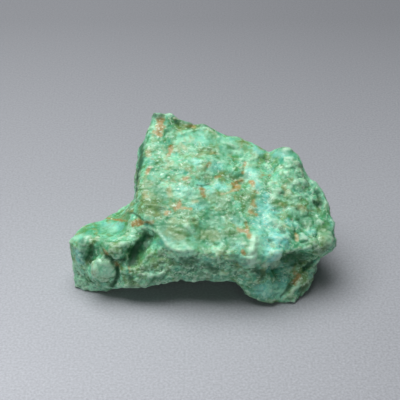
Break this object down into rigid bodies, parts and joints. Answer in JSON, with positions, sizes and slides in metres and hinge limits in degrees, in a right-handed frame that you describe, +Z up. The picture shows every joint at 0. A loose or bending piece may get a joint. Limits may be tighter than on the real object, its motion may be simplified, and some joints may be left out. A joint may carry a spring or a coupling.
{
  "type": "raw turquoise stone",
  "caption": "Rough turquoise nugget: a thick slab with a broad leaning face, a square lobe at one end, a nodular other end and an arched underside, resting on flat spots.",
  "frame": {"origin": "on the surface it rests on, under the middle of its bounding box", "axes": "+X along the stone to its nodular end, +Y towards the high back edge of the leaning face, +Z up"},
  "size_m": [0.0448, 0.027, 0.0235],
  "materials": {
    "turquoise": "green to blue-green, waxy, pitted and broken, with rust-brown iron stains"
  },
  "bodies": {
    "root": {"turquoise_nugget": "turquoise"}
  },
  "joints": []
}
